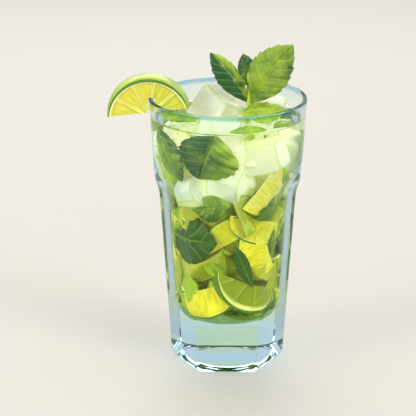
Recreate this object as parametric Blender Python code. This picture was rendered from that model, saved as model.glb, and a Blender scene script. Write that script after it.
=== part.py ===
"""A mojito: a heavy six-panelled tumbler, the drink in it, ice, mint leaves and a half lime wheel on the rim.

Blender units are metres, +Z is up, and the origin is the middle of the glass's flat base. The drinker's
side is -Y. Sizes are written in millimetres and turned into metres by MM.
"""

import math

import bmesh
import bpy
import numpy as np
from mathutils import Matrix, Vector

MM = 0.001
GAP = 0.3 * MM  # between pieces that touch

# The glass
GLASS_HEIGHT = 155 * MM
RIM_RADIUS = 44 * MM
RIM_WALL = 2.4 * MM
WALL_FLARE = 0.06  # how fast the round wall moves out with height
PANELS = 6
PANEL_FOOT_RADIUS = 31.7 * MM  # axis to a rounded corner, at the foot
PANEL_FLARE = 0.069  # how fast the corners move out with height
PANEL_TOP = 97 * MM  # above this each panel's face curves out to the round wall
PANEL_TOP_CURVE = 26 * MM
CORNER_ROUNDING = 4 * MM
FOOT_ROUNDING = 4 * MM
SOFT_EDGE = 0.5 * MM  # how softly panel and round wall meet
FLOOR_THICKNESS = 28 * MM
WELL_RADIUS = 26.8 * MM  # of the inside, just above its rounded floor
WELL_ROUNDING = 8 * MM
WELL_FLARE = 0.055
WELL_OPENS = (98 * MM, 138 * MM)  # between these the inside widens to the thin round wall
CORNER_STEPS = (0, 11, 19, 25, 28, 30, 32, 35, 41, 49)  # degrees round one panel, closest at its corner
OUTSIDE_STEPS = (20, 46, 72, 97, 102, 106, 110, 114, 118, 123, 131, 142)  # heights of rings in millimetres
INSIDE_STEPS = (36, 67, 98, 107, 115, 124, 132)

# The drink
DRINK_LEVEL = 143.5 * MM

# The lime wheel
LIME_RADIUS = 23.2 * MM
LIME_CUT = 2.5 * MM  # the flat cut passes this far above the wheel's middle
LIME_THICKNESS = 9 * MM
LIME_RIND = 2.6 * MM
LIME_SEGMENTS = 10  # round the whole wheel
LIME_TURN = math.radians(7)  # its flat cut rises towards the drink
LIME_LEAN = math.radians(7)  # its top leans towards the drinker
LIME_OUTSIDE = 1.5 * MM  # how far its middle is outside the middle of the wall
LIME_NOTCH_DEPTH = 8.2 * MM
LIME_RELIEF = 0.7 * MM  # how far the juicy segments sink below the rind
LIME_RELIEF_SLOPE = 1.6 * MM  # from a membrane or the rind to that depth
LIME_BEVEL = 1.2 * MM  # of the rind's edges
LIME_SHARES = (0.0, 0.15, 0.32, 0.52, 0.72, 0.84, 0.91, 0.96)  # rings of points from the middle outwards

# The mint
LEAF_THICKNESS = 0.6 * MM
LEAF_STEPS = 12  # along the midrib
LEAF_TEETH = (0.97, 1.05)  # how wide the blade is at and between every other step
LEAF_WAVES = 5
LEAF_WAVE_HEIGHT = 0.05  # of half the blade's width
LEAF_DROOP = 0.25  # how far the halves curve down towards their edges
STEM_RADIUS = 1.3 * MM

COLOURS = {
    "clear_glass": ((0.86, 0.95, 0.98), 0.03, 0.9),
    "mojito": ((0.72, 0.84, 0.36), 0.05, 0.6),
    "ice": ((0.9, 0.96, 0.9), 0.15, 0.5),
    "lime": ((0.66, 0.77, 0.13), 0.45, 0.0),
    "mint": ((0.13, 0.36, 0.05), 0.5, 0.0),
}


def clear_scene():
    for obj in list(bpy.data.objects):
        bpy.data.objects.remove(obj)


def material(name):
    """A Principled BSDF with the colour, roughness and clearness listed for that material."""
    if name in bpy.data.materials:
        return bpy.data.materials[name]
    colour, roughness, transmission = COLOURS[name]
    made = bpy.data.materials.new(name)
    made.use_nodes = True
    shader = made.node_tree.nodes["Principled BSDF"]
    shader.inputs["Base Color"].default_value = (*colour, 1.0)
    shader.inputs["Roughness"].default_value = roughness
    shader.inputs["Metallic"].default_value = 0.0
    shader.inputs["Transmission Weight"].default_value = transmission
    return made


def add_object(name, points, faces, material_name, sharp_angle=40.0):
    """A mesh object of these points and faces, shaded smooth with its sharp edges kept."""
    mesh = bpy.data.meshes.new(name)
    mesh.from_pydata([tuple(p) for p in points], [], [tuple(f) for f in faces])
    mesh.update()
    if material_name:
        mesh.materials.append(material(material_name))
    mesh.shade_smooth()
    mesh.set_sharp_from_angle(angle=math.radians(sharp_angle))
    obj = bpy.data.objects.new(name, mesh)
    bpy.context.scene.collection.objects.link(obj)
    return obj


def make_cutter(obj):
    obj.hide_render = True
    obj.display_type = "WIRE"
    return obj


def cut(obj, cutter):
    """Takes the cutter's shape out of the object."""
    modifier = obj.modifiers.new("cut_" + cutter.name, "BOOLEAN")
    modifier.operation = "DIFFERENCE"
    modifier.solver = "EXACT"
    modifier.object = cutter


def stacked_rings(rings):
    """Points and faces of a closed skin over a stack of rings, closed by a point in the middle of both ends.

    rings has the shape (rows, points round, 3), counter-clockwise seen from above, from the first end
    along the outside to the other end.
    """
    rows, around, _ = rings.shape
    points = list(rings.reshape(-1, 3))
    points += [rings[0].mean(axis=0), rings[-1].mean(axis=0)]
    first_pole, last_pole = rows * around, rows * around + 1
    faces = []
    for k in range(around):
        n = (k + 1) % around
        faces.append((first_pole, n, k))
        faces.append((last_pole, (rows - 1) * around + k, (rows - 1) * around + n))
        for row in range(rows - 1):
            low, high = row * around, (row + 1) * around
            faces.append((low + k, low + n, high + n, high + k))
    return points, faces


def smooth_step(share):
    share = np.clip(share, 0, 1)
    return share * share * (3 - 2 * share)


# The glass: a straight-sided hexagonal cup below, round above, with a round inside


def panel_angles():
    """Angles round the axis, closer together at the six rounded corners. A panel faces -Y."""
    within = np.radians(CORNER_STEPS)
    turns = [within + math.tau * k / PANELS for k in range(PANELS)]
    return np.concatenate(turns) - math.pi / 2


def hexagon_radius(angles, apothem):
    """Axis to a hexagon with rounded corners: a flat is its apothem over a cosine, and a corner is an arc."""
    half = math.pi / PANELS
    from_flat = np.abs((angles + math.pi / 2 + half) % (2 * half) - half)
    flat = apothem / np.cos(from_flat)
    centre = (apothem - CORNER_ROUNDING) / math.cos(half)
    to_corner = half - from_flat
    inside = np.maximum(CORNER_ROUNDING**2 - (centre * np.sin(to_corner)) ** 2, 0)
    arc = centre * np.cos(to_corner) + np.sqrt(inside)
    on_arc = apothem * np.tan(from_flat) > (apothem - CORNER_ROUNDING) * math.tan(half)
    return np.where(on_arc, arc, flat)


def round_wall_radius(z):
    """The outside of the round upper wall, a cone that widens to the rim."""
    return RIM_RADIUS - WALL_FLARE * (GLASS_HEIGHT - z)


def outside_radius(angles, z):
    """The glass's outside at one height: the lesser of panels and round wall, softly joined."""
    half = math.pi / PANELS
    corner = PANEL_FOOT_RADIUS + PANEL_FLARE * z
    sharp_corner = corner + CORNER_ROUNDING * (1 / math.cos(half) - 1)
    apothem = sharp_corner * math.cos(half)
    if z > PANEL_TOP:
        rise = min(z - PANEL_TOP, PANEL_TOP_CURVE)
        apothem += PANEL_TOP_CURVE - math.sqrt(PANEL_TOP_CURVE**2 - rise**2)
    panels = hexagon_radius(angles, apothem)
    wall = round_wall_radius(z)
    lower = np.minimum(panels, wall)
    return lower - SOFT_EDGE * np.log(
        np.exp((lower - panels) / SOFT_EDGE) + np.exp((lower - wall) / SOFT_EDGE)
    )


def inside_radius(z):
    """The round inside: a steep cup in the panelled part that opens smoothly to the thin round wall."""
    cup = WELL_RADIUS + WELL_FLARE * (z - FLOOR_THICKNESS - WELL_ROUNDING)
    low, high = WELL_OPENS
    opening = smooth_step((z - low) / (high - low))
    return cup + (round_wall_radius(z) - RIM_WALL - cup) * opening


def ring(angles, radius, z):
    heights = np.full(len(angles), z)
    return np.stack([radius * np.cos(angles), radius * np.sin(angles), heights], axis=1)


def make_glass():
    angles = panel_angles()
    lip = RIM_WALL / 2
    rings = []
    for turn in np.radians([0, 30, 60, 90]):  # the rounded edge of the foot
        z = FOOT_ROUNDING * (1 - math.cos(turn))
        inset = FOOT_ROUNDING * (1 - math.sin(turn))
        rings.append(ring(angles, outside_radius(angles, z) - inset, z))
    heights = [*np.multiply(OUTSIDE_STEPS, MM), GLASS_HEIGHT - lip]
    rings += [ring(angles, outside_radius(angles, z), z) for z in heights]
    for turn in np.radians([45, 90, 135]):  # the rounded lip
        radius = RIM_RADIUS - lip + lip * math.cos(turn)
        rings.append(ring(angles, radius, GLASS_HEIGHT - lip + lip * math.sin(turn)))
    heights = [*inside_heights(), GLASS_HEIGHT - lip]
    rings += [ring(angles, inside_radius(z), z) for z in heights[::-1]]
    for turn in np.radians([30, 60, 90]):  # the rounded corner of the inside's floor
        rings.append(well_corner(angles, turn, 0.0))
    points, faces = stacked_rings(np.array(rings))
    return add_object("glass", points, faces, "clear_glass", sharp_angle=25)


def inside_heights():
    """Heights of the inside's rings, from its rounded floor up to the drink's surface."""
    return [*np.multiply(INSIDE_STEPS, MM), DRINK_LEVEL]


def well_corner(angles, turn, gap):
    """One ring of the inside's rounded floor corner, a gap nearer to the axis and higher."""
    rounding = WELL_ROUNDING - gap
    z = FLOOR_THICKNESS + WELL_ROUNDING - rounding * math.sin(turn)
    radius = WELL_RADIUS - WELL_ROUNDING + rounding * math.cos(turn)
    return ring(angles, radius, z)


def make_drink(cutters):
    """The liquid, a gap inside the glass, cut round the ice and the mint's stem."""
    angles = panel_angles()
    rings = [well_corner(angles, turn, GAP) for turn in np.radians([90, 60, 30])]
    rings += [ring(angles, inside_radius(z) - GAP, z) for z in inside_heights()]
    points, faces = stacked_rings(np.array(rings))
    drink = add_object("drink", points, faces, "mojito")
    for cutter in cutters:
        cut(drink, cutter)
    return drink


# The ice: rounded cubes, each a little uneven, that break the surface

ICE_CUBES = {
    # name: (sizes, middle) in millimetres, and (turn about Z, then lean about X and Y) in degrees
    "ice_cube_back": ((26, 25, 25), (-5, 13.5, 141.5), (38, 24, 20)),
    "ice_cube_front": ((20, 19, 18), (-4.5, -21, 138.5), (22, -12, 9)),
    "ice_cube_side": ((18, 17, 18), (23, 17, 141), (-12, 14, 13)),
}
ICE_ROUNDING = 3.2 * MM
ICE_TAPER = 0.94  # a cube from a tray is a little smaller at its top


def rounded_cube(name, size, middle, tilt, grow=0.0):
    """A cube with rounded edges and a slight taper. grow moves every face out by that much."""
    mesh = bpy.data.meshes.new(name)
    bm = bmesh.new()
    bmesh.ops.create_cube(bm, size=1.0)
    for vert in bm.verts:
        taper = ICE_TAPER if vert.co.z > 0 else 1.0
        vert.co.x *= size[0] * MM * taper + 2 * grow
        vert.co.y *= size[1] * MM * taper + 2 * grow
        vert.co.z *= size[2] * MM + 2 * grow
    bmesh.ops.bevel(
        bm,
        geom=list(bm.edges),
        offset=ICE_ROUNDING + grow,
        offset_type="OFFSET",
        segments=3,
        profile=0.5,
        affect="EDGES",
    )
    bmesh.ops.triangulate(bm, faces=list(bm.faces))
    bm.to_mesh(mesh)
    bm.free()
    mesh.materials.append(material("ice"))
    mesh.shade_smooth()
    mesh.set_sharp_from_angle(angle=math.radians(40))
    cube = bpy.data.objects.new(name, mesh)
    cube.location = Vector(middle) * MM
    turn, lean_front, lean_side = [math.radians(a) for a in tilt]
    cube.rotation_mode = "ZXY"
    cube.rotation_euler = (lean_front, lean_side, turn)
    bpy.context.scene.collection.objects.link(cube)
    return cube


# The lime: half a wheel, with its segments sunk a little below rind and membranes


def lime_relief(across, up):
    """How far a cut face lies below the rind at a place on it, measured from the middle of the flat cut.

    The juicy segments sink between their membranes, which meet in the wheel's middle below the flat cut.
    """
    radius = np.hypot(across, up + LIME_CUT)
    share = np.arctan2(up + LIME_CUT, across) / math.tau * LIME_SEGMENTS % 1.0
    from_membrane = np.minimum(share, 1 - share) * math.tau / LIME_SEGMENTS * radius
    inside = np.minimum(from_membrane, LIME_RADIUS - LIME_RIND - radius)
    return LIME_RELIEF * smooth_step(inside / LIME_RELIEF_SLOPE)


def make_lime_slice():
    """Both cut faces are fans of points from the middle of the flat cut, joined by the rind's round edge."""
    steps = 3 * LIME_SEGMENTS
    angles = np.linspace(0, math.pi, steps + 1)
    to_rind = np.sqrt(LIME_RADIUS**2 - (LIME_CUT * np.cos(angles)) ** 2)
    reach = to_rind - LIME_CUT * np.sin(angles)
    half = LIME_THICKNESS / 2
    grids = []  # from the middle of the front face, over the rind, to the middle of the back face
    for share in LIME_SHARES:
        across, up = share * reach * np.cos(angles), share * reach * np.sin(angles)
        grids.append((across, lime_relief(across, up) - half, up))
    edge = np.full_like(angles, LIME_BEVEL - half)
    grids.append((reach * np.cos(angles), edge, reach * np.sin(angles)))
    shell = grids + [(across, -front, up) for across, front, up in grids[::-1]]
    points = np.array([np.stack(grid, axis=1) for grid in shell])
    rows = len(shell)
    width = steps + 1
    faces = []
    for row in range(rows - 1):
        for k in range(steps):
            low, high = row * width + k, (row + 1) * width + k
            faces.append((low, low + 1, high + 1, high))
    right = [row * width for row in range(rows)]
    left = [row * width + steps for row in range(rows)]
    for row in range(rows // 2):  # the flat cut, strip by strip, front to back
        other = rows - 1 - row
        if row + 1 < other:
            faces.append((right[row], right[row + 1], right[other - 1], right[other]))
            faces.append((left[row], left[other], left[other - 1], left[row + 1]))
    slice_object = add_object("lime_slice", points.reshape(-1, 3), faces, "lime")
    merge_and_face_out(slice_object.data)
    notch_top = GLASS_HEIGHT + GAP
    flat_height = notch_top - LIME_NOTCH_DEPTH
    seat = Vector((-(RIM_RADIUS - RIM_WALL / 2 + LIME_OUTSIDE), 0, flat_height))
    slice_object.matrix_world = (
        Matrix.Translation(seat)
        @ Matrix.Rotation(LIME_LEAN, 4, "X")
        @ Matrix.Rotation(-LIME_TURN, 4, "Y")
    )
    notch = notch_cutter(notch_top)
    cut(slice_object, notch)
    return slice_object


def notch_cutter(top):
    """A slot that clears the glass's wall, from the slice's lowest point to a gap above the lip."""
    height = LIME_NOTCH_DEPTH + LIME_RADIUS * math.sin(LIME_TURN)
    outer = RIM_RADIUS + GAP
    inner = inside_radius(top - height) - 2 * GAP
    bpy.ops.mesh.primitive_cube_add(size=1.0)
    notch = bpy.context.object
    notch.name = "lime_notch_cutter"
    notch.scale = (outer - inner, LIME_THICKNESS * 4, height)
    notch.location = (-(outer + inner) / 2, 0, top - height / 2)
    return make_cutter(notch)


def merge_and_face_out(mesh):
    """Joins points that coincide and turns every face outwards."""
    bm = bmesh.new()
    bm.from_mesh(mesh)
    bmesh.ops.remove_doubles(bm, verts=bm.verts, dist=0.01 * MM)
    bmesh.ops.dissolve_degenerate(bm, dist=0.01 * MM, edges=bm.edges)
    bmesh.ops.recalc_face_normals(bm, faces=bm.faces)
    bmesh.ops.triangulate(bm, faces=list(bm.faces))
    bm.to_mesh(mesh)
    bm.free()


# The mint: each leaf is a thin wavy solid about its midrib


def leaf_outline(share):
    """Half the blade's width at a share of its length, as part of the greatest: ovate with a pointed tip."""
    blade = np.sin(math.pi * np.clip(share, 0, 1) ** 1.05) ** 0.8
    return np.maximum(blade, 0.05)


def leaf_solid(base, tip, facing, width, fold, bow=0.1):
    """Points and triangles of a leaf from base to tip, in millimetres, its upper side facing that way.

    fold lifts both halves from the midrib by that many degrees, or droops them where it is negative, and
    bow arches the midrib by that share of the length. The lower face is the upper one moved back by the
    leaf's thickness, and both are split into triangles alike.
    """
    base, tip, facing = Vector(base), Vector(tip), Vector(facing)
    along = tip - base
    length = along.length
    along.normalize()
    up = (facing - along * facing.dot(along)).normalized()
    side = along.cross(up)
    shares = np.linspace(0.02, 1, LEAF_STEPS + 1)
    across = np.array([-1, -0.5, 0, 0.5, 1])
    valley, tooth = LEAF_TEETH
    half_width = leaf_outline(shares) * width / 2
    half_width[:-1] *= np.where(np.arange(LEAF_STEPS) % 2, tooth, valley)
    lift = math.tan(math.radians(fold))
    upper = []
    for row, share in enumerate(shares):
        middle = np.array(base + along * length * share)
        middle += np.array(up) * length * bow * 4 * share * (1 - share)
        for v in across:
            sideways = v * half_width[row]
            wave = LEAF_WAVE_HEIGHT * abs(sideways) * math.sin(LEAF_WAVES * math.tau * share)
            height = lift * abs(sideways) - LEAF_DROOP * sideways**2 / width + wave
            upper.append(middle + np.array(side) * sideways + np.array(up) * height)
    upper = np.array(upper)
    lower = upper - np.array(up) * LEAF_THICKNESS / MM
    count, columns = len(upper), len(across)
    faces = []
    for row in range(LEAF_STEPS):
        for column in range(columns - 1):
            a = row * columns + column
            b, c, d = a + 1, a + columns + 1, a + columns
            faces += [(a, b, c), (a, c, d)]
            faces += [(a + count, c + count, b + count), (a + count, d + count, c + count)]
    rim = [row * columns for row in range(LEAF_STEPS + 1)]
    rim += [LEAF_STEPS * columns + column for column in range(1, columns)]
    rim += [row * columns + columns - 1 for row in range(LEAF_STEPS - 1, -1, -1)]
    rim += [column for column in range(columns - 2, 0, -1)]
    for k, a in enumerate(rim):
        b = rim[(k + 1) % len(rim)]
        faces += [(a, b, b + count), (a, b + count, a + count)]
    points = np.concatenate([upper, lower]) * MM
    return points, faces


def make_leaf(name, **shape):
    points, faces = leaf_solid(**shape)
    leaf = add_object(name, points, faces, "mint")
    merge_and_face_out(leaf.data)
    return leaf


# Places in millimetres, and fold in degrees. A loose leaf's heights are from the drink's surface.
SPRIG_STEM = [(10, 1, 112), (10.5, 2, 130), (11.5, 4, 148), (11.8, 5.5, 162)]
SPRIG_LEAVES = {
    "right": dict(base=(11.7, 4, 150), tip=(35.5, 3, 183.5), facing=(-0.3, -0.9, 0.3), width=24, fold=10),
    "left": dict(base=(11.3, 4, 150.5), tip=(-9.5, 3, 179), facing=(0.35, -0.75, 0.3), width=14, fold=-24),
    "back": dict(base=(11.5, 6, 161), tip=(8.5, 9, 177), facing=(0.2, -1, 0.2), width=10, fold=18),
    "small": dict(base=(11.5, 5, 160.5), tip=(3.5, 1, 163.5), facing=(0, -0.4, 1), width=7, fold=20),
}
LOOSE_BOW = 0.05
LOOSE_LEAVES = {
    "mint_leaf_left": dict(base=(-17.5, -13.5, 0), tip=(-37, -5, 2), facing=(0, -0.2, 1), width=13, fold=6),
    "mint_leaf_right": dict(base=(7, -13, 0), tip=(31.5, -8.5, 1.5), facing=(0, -0.5, 1), width=17, fold=-9),
    "mint_leaf_front": dict(base=(1, -35.5, 0), tip=(20.5, -33.5, 1), facing=(0, -0.25, 1), width=8, fold=8),
    "mint_leaf_side": dict(base=(24.5, -25, 0), tip=(33.5, -19, 1.5), facing=(0, -0.2, 1), width=7, fold=8),
}


def float_on_drink(leaf):
    """Moves the leaf's points up or down until its lowest one is a gap above the drink."""
    lowest = min(vert.co.z for vert in leaf.data.vertices)
    leaf.data.transform(Matrix.Translation((0, 0, DRINK_LEVEL + GAP - lowest)))


def stem_tube(name, route, radius):
    """A round stem along its route, in millimetres."""
    curve = bpy.data.curves.new(name, "CURVE")
    curve.dimensions = "3D"
    curve.bevel_depth = radius
    curve.bevel_resolution = 2
    curve.use_fill_caps = True
    spline = curve.splines.new("POLY")
    spline.points.add(len(route) - 1)
    for point, place in zip(spline.points, route):
        point.co = (*(Vector(place) * MM), 1.0)
    drawn = bpy.data.objects.new(name + "_curve", curve)
    bpy.context.scene.collection.objects.link(drawn)
    graph = bpy.context.evaluated_depsgraph_get()
    mesh = bpy.data.meshes.new_from_object(drawn.evaluated_get(graph))
    bpy.data.objects.remove(drawn)
    mesh.name = name
    stem = bpy.data.objects.new(name, mesh)
    bpy.context.scene.collection.objects.link(stem)
    merge_and_face_out(mesh)
    return stem


def make_sprig():
    """The sprig is one piece: its leaves are joined to the stem by a union, which is applied."""
    sprig = stem_tube("mint_sprig", SPRIG_STEM, STEM_RADIUS)
    sprig.data.materials.clear()
    sprig.data.materials.append(material("mint"))
    leaves = bpy.data.collections.new("sprig_leaves")
    bpy.context.scene.collection.children.link(leaves)
    for name, shape in SPRIG_LEAVES.items():
        leaf = make_leaf("sprig_leaf_" + name, **shape)
        bpy.context.scene.collection.objects.unlink(leaf)
        leaves.objects.link(leaf)
    union = sprig.modifiers.new("leaves", "BOOLEAN")
    union.operation = "UNION"
    union.solver = "EXACT"
    union.operand_type = "COLLECTION"
    union.collection = leaves
    graph = bpy.context.evaluated_depsgraph_get()
    joined = bpy.data.meshes.new_from_object(sprig.evaluated_get(graph))
    sprig.modifiers.clear()
    sprig.data = joined
    for leaf in list(leaves.objects):
        bpy.data.objects.remove(leaf)
    bpy.data.collections.remove(leaves)
    joined.shade_smooth()
    joined.set_sharp_from_angle(angle=math.radians(50))
    return sprig


def main():
    clear_scene()
    make_glass()
    foot_x, foot_y, foot_z = SPRIG_STEM[0]
    socket = [(foot_x, foot_y, foot_z - GAP / MM)] + SPRIG_STEM[1:]
    cutters = [make_cutter(stem_tube("stem_cutter", socket, STEM_RADIUS + GAP))]
    for name, (size, middle, tilt) in ICE_CUBES.items():
        rounded_cube(name, size, middle, tilt)
        cutters.append(
            make_cutter(rounded_cube(name + "_cutter", size, middle, tilt, grow=GAP))
        )
    make_drink(cutters)
    make_lime_slice()
    make_sprig()
    for name, shape in LOOSE_LEAVES.items():
        float_on_drink(make_leaf(name, bow=LOOSE_BOW, **shape))


main()
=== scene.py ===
"""The looks of a mojito: a heavy panelled tumbler, the drink and what floats and sinks in it, lime and mint.

Everything is in metres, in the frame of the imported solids. Sizes are written in millimetres times MM. Those
in lists are in plain millimetres, which the functions that read them multiply, and the studio's in metres.
"""

import math

import bpy
import numpy as np
from mathutils import Matrix, Vector


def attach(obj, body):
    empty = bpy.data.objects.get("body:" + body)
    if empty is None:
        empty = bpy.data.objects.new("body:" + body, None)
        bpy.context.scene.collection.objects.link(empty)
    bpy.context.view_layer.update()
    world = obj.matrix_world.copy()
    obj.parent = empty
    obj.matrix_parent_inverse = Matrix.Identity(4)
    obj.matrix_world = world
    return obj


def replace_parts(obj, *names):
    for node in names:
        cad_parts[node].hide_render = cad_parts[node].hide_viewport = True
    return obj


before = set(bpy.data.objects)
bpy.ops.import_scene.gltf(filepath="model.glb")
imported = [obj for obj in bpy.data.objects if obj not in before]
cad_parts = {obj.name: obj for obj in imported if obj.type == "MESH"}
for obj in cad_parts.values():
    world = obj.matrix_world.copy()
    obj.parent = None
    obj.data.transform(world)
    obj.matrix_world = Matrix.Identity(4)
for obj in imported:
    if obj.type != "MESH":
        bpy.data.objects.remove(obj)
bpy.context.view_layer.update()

MM = 0.001

# The studio
# A pale floor that runs past every view, one large soft lamp at the right, a weaker one at the left and
# a long one behind, and a camera at the height and distance from which the drink was drawn.

FLOOR_RADIUS = 6.0
FLOOR_COLOUR = (0.58, 0.565, 0.525)
STUDIO_WHITE = (1.0, 0.985, 0.96)
AIR_BRIGHTNESS = 0.88
SOFT_LAMPS = {
    # name: (place, what it points at, width, height, watts)
    "lamp_right": ((0.95, -0.75, 0.85), (0, 0, 0.08), 0.55, 0.75, 8.5),
    "lamp_left": ((-0.9, -0.55, 0.45), (0, 0, 0.08), 0.3, 0.8, 5.0),
    "lamp_behind": ((-0.15, 0.95, 0.75), (0, 0, 0.09), 1.1, 0.4, 5.0),
}
CAMERA_PLACE = (0, -1.05, 0.43635)
CAMERA_DOWN = math.radians(18.27)
CAMERA_LEFT = math.radians(0.605)
CAMERA_LENS = 169.3
CAMERA_SENSOR = 36
BOUNCES = 24
CLEAR_BOUNCES = 48


def place_object(name, data):
    """A new object at the scene's origin."""
    thing = bpy.data.objects.new(name, data)
    bpy.context.scene.collection.objects.link(thing)
    return thing


def fill(node, inputs):
    """Sets each of a node's inputs to a number or a colour, or links it to another node's output."""
    for key, value in inputs.items():
        socket = node.inputs[key]
        if isinstance(value, bpy.types.NodeSocket):
            node.id_data.links.new(value, socket)
        elif socket.type == "RGBA":
            socket.default_value = (*value, 1)
        else:
            socket.default_value = value


def shader_of(finish):
    """The Principled shader of a material."""
    return finish.node_tree.nodes["Principled BSDF"]


def new_finish(name, inputs):
    """A material whose Principled shader has these inputs."""
    finish = bpy.data.materials.new(name)
    finish.use_nodes = True
    fill(shader_of(finish), inputs)
    return finish


def add_floor():
    """A disc at z = 0: its points are a radius times cosine and sine of equal steps round the circle."""
    turn = np.linspace(0, math.tau, 64, endpoint=False)
    points = FLOOR_RADIUS * np.stack([np.cos(turn), np.sin(turn), np.zeros_like(turn)], axis=1)
    mesh = bpy.data.meshes.new("floor")
    mesh.from_pydata(points.tolist(), [], [list(range(len(turn)))])
    mesh.materials.append(new_finish("floor_paint", {"Base Color": FLOOR_COLOUR, "Roughness": 0.6}))
    place_object("floor", mesh)


def add_soft_lamp(name, place, aim, width, height, watts):
    """A rectangular lamp that shines from its place towards its aim."""
    light = bpy.data.lights.new(name, "AREA")
    light.shape = "RECTANGLE"
    light.size = width
    light.size_y = height
    light.energy = watts
    light.color = STUDIO_WHITE
    lamp = place_object(name, light)
    lamp.location = place
    lamp.rotation_euler = (Vector(aim) - Vector(place)).to_track_quat("-Z", "Y").to_euler()


add_floor()
for lamp_name, lamp_values in SOFT_LAMPS.items():
    add_soft_lamp(lamp_name, *lamp_values)

studio_air = bpy.data.worlds.new("studio_air")
studio_air.use_nodes = True
fill(studio_air.node_tree.nodes["Background"], {"Color": STUDIO_WHITE, "Strength": AIR_BRIGHTNESS})
bpy.context.scene.world = studio_air

camera_lens = bpy.data.cameras.new("camera")
camera_lens.lens = CAMERA_LENS
camera_lens.sensor_width = CAMERA_SENSOR
camera = place_object("camera", camera_lens)
camera.location = CAMERA_PLACE
camera.rotation_euler = (math.pi / 2 - CAMERA_DOWN, 0, CAMERA_LEFT)
bpy.context.scene.camera = camera
bpy.context.scene.view_settings.view_transform = "Standard"
bpy.context.scene.cycles.max_bounces = BOUNCES
bpy.context.scene.cycles.transmission_bounces = BOUNCES
bpy.context.scene.cycles.transparent_max_bounces = CLEAR_BOUNCES

# The glass
# A heavy pressed tumbler of clear, faintly blue soda glass: six flat panels that curve out into a thin
# round wall, a round inside, and a thick base. It is pressed in one piece and its rim is fire-polished.

GLASS_HEIGHT = 155 * MM
RIM_RADIUS = 44 * MM
RIM_WALL = 2.4 * MM
WALL_FLARE = 0.06
PANELS = 6
PANEL_FOOT_RADIUS = 31.7 * MM
PANEL_FLARE = 0.069
PANEL_TOP = 97 * MM
PANEL_TOP_CURVE = 26 * MM
CORNER_ROUNDING = 4 * MM
FOOT_ROUNDING = 4 * MM
SOFT_EDGE = 0.5 * MM
FLOOR_THICKNESS = 28 * MM
WELL_RADIUS = 26.8 * MM
WELL_ROUNDING = 8 * MM
WELL_FLARE = 0.055
WELL_OPENS = (98 * MM, 138 * MM)
FOOT_HOLLOW_RADIUS = 21 * MM
FOOT_HOLLOW_DEPTH = 1.2 * MM
FOOT_HOLLOW_FLAT = 0.9
FOOT_HOLLOW_RUNOUT = 0.2
STEPS_ROUND = 240
ARC_STEPS = 9
# Heights of the rings of points: (first, last, how many)
OUTSIDE_RINGS = [(8, 94, 16), (97, 126, 30), (129, 151, 8)]
INSIDE_RINGS = [(36, 96, 14), (98, 152, 36)]

# The glass is bluer where it is seen edge on. Its base has painted refraction: the drink's green is painted
# in where the base is seen straight, and it is bluish elsewhere. A tint's two heights are where it starts and
# where it is full.
GLASS_CLEAR = (0.985, 0.995, 1.0)
GLASS_EDGE_ON = (0.55, 0.78, 1.0)
GLASS_BASE_PAINTED_DRINK = (1.0, 1.0, 0.50)
GLASS_BASE_EDGE_ON = (0.80, 0.90, 1.0)
GLASS_FOOT = (0.87, 0.95, 1.0)
GLASS_WALL = (0.88, 0.97, 0.94)
GLASS_LIP = (0.40, 0.68, 0.84)
EDGE_ON_SHARES = (0.45, 0.9)
BASE_EDGE_ON_SHARES = (0.3, 0.5)
BASE_TINT = (32 * MM, 29 * MM)
FOOT_TINT = (15 * MM, 12 * MM)
WALL_TINT = (143 * MM, 147 * MM)
LIP_TINT = (151.8 * MM, 153.4 * MM)
# Real glass bends light by an index of 1.5 and a drink by 1.34, which would squeeze what is seen inside them
# and darken their edges. So both have a lower one here.
GLASS_INDEX = 1.18
GLASS_COAT = 0.06
# The colour that light takes on inside, and its density
GLASS_DEPTH = ((0.60, 0.87, 1.0), 19)


def smooth_step(share):
    """3 s squared minus 2 s cubed, with s kept from 0 to 1."""
    share = np.clip(share, 0, 1)
    return share * share * (3 - 2 * share)


def round_wall_radius(z):
    """The cone of the upper wall: the rim's radius less the flare times the depth below the rim."""
    return RIM_RADIUS - WALL_FLARE * (GLASS_HEIGHT - z)


def hexagon_radius(turn, apothem):
    """Axis to a hexagon with rounded corners: apothem over cosine on a flat, and an arc at a corner."""
    half = math.pi / PANELS
    from_flat = np.abs((turn + math.pi / 2 + half) % (2 * half) - half)
    centre = (apothem - CORNER_ROUNDING) / math.cos(half)
    to_corner = half - from_flat
    inside = np.maximum(CORNER_ROUNDING**2 - (centre * np.sin(to_corner)) ** 2, 0)
    arc = centre * np.cos(to_corner) + np.sqrt(inside)
    on_arc = apothem * np.tan(from_flat) > (apothem - CORNER_ROUNDING) * math.tan(half)
    return np.where(on_arc, arc, apothem / np.cos(from_flat))


def outside_radius(turn, z):
    """The lesser of the panels and the round wall, joined by a soft minimum: minus the logarithm of the sum
    of their exponentials. The panels flare with the height and curve outwards along an arc at their top.
    """
    half = math.pi / PANELS
    sharp_corner = PANEL_FOOT_RADIUS + PANEL_FLARE * z + CORNER_ROUNDING * (1 / math.cos(half) - 1)
    rise = np.clip(z - PANEL_TOP, 0, PANEL_TOP_CURVE)
    apothem = sharp_corner * math.cos(half) + PANEL_TOP_CURVE - np.sqrt(PANEL_TOP_CURVE**2 - rise**2)
    panels = hexagon_radius(turn, apothem)
    wall = round_wall_radius(z)
    lower = np.minimum(panels, wall)
    spread = np.exp((lower - panels) / SOFT_EDGE) + np.exp((lower - wall) / SOFT_EDGE)
    return lower - SOFT_EDGE * np.log(spread)


def inside_radius(z):
    """A cup that flares a little, blended by a smooth step into the round wall less its thickness."""
    cup = WELL_RADIUS + WELL_FLARE * (z - FLOOR_THICKNESS - WELL_ROUNDING)
    low, high = WELL_OPENS
    return cup + (round_wall_radius(z) - RIM_WALL - cup) * smooth_step((z - low) / (high - low))


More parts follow.
